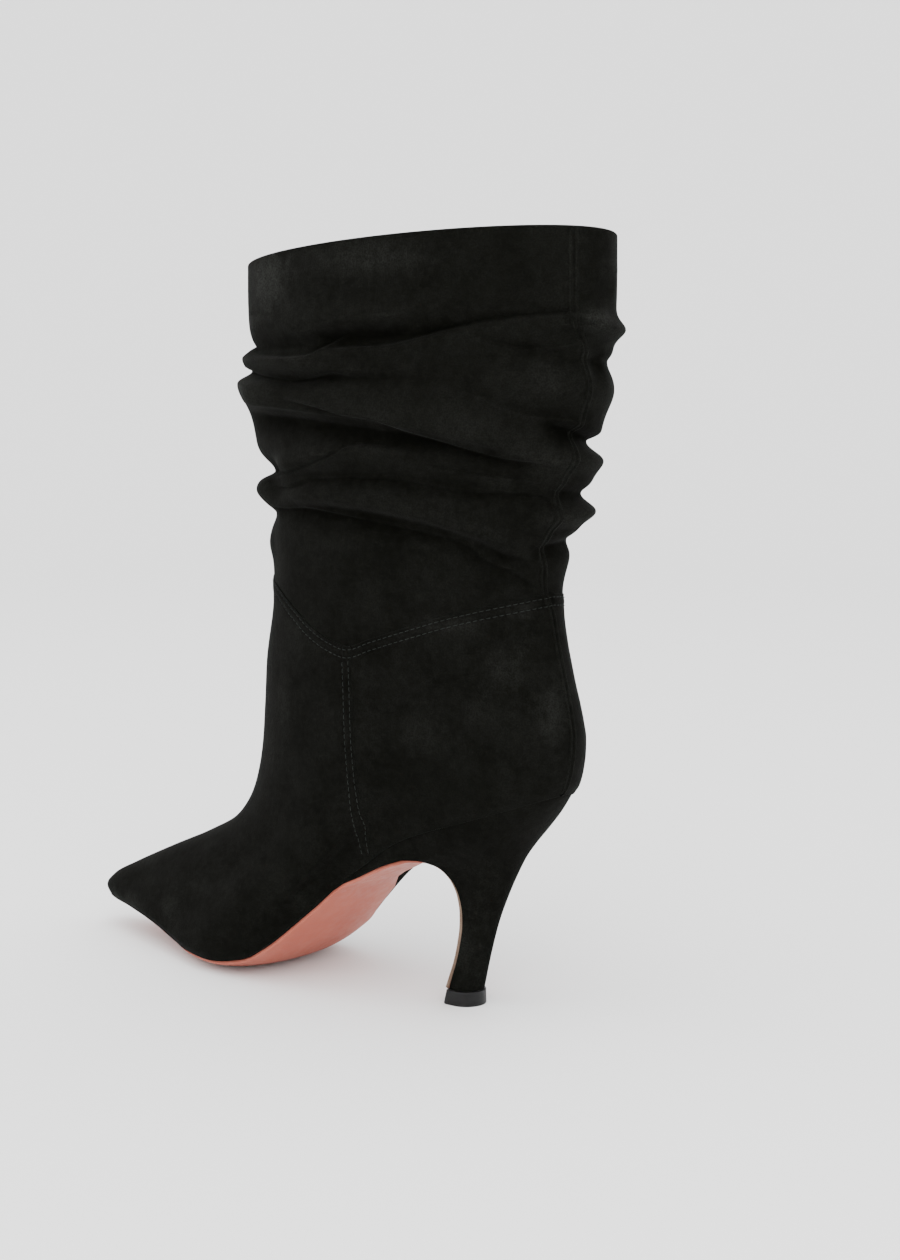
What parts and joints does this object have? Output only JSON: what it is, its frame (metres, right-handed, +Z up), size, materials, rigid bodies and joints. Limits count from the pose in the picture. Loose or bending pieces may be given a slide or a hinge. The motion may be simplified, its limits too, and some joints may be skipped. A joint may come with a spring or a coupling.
{
  "type": "slouch boot",
  "caption": "High-heeled pointed ankle boot with a soft slouching shaft in suede, a slim covered heel and a leather sole that runs down the heel's front.",
  "frame": {"origin": "middle of the boot's bounding box, on the floor that it stands on", "axes": "+Z up, toe towards -Y, outer (lateral) side of this left boot towards +X"},
  "size_m": [0.0896, 0.2638, 0.2918],
  "materials": {
    "upper": "black suede, matt nap",
    "back_strip": "black suede, matt nap",
    "insole": "black lining leather",
    "outsole": "coral red sole leather, satin",
    "heel": "black suede cover, matt nap",
    "top_piece": "black, satin"
  },
  "bodies": {
    "root": {"upper": "upper", "back_strip": "back_strip", "insole": "insole", "outsole": "outsole", "heel": "heel", "top_piece": "top_piece"}
  },
  "joints": []
}
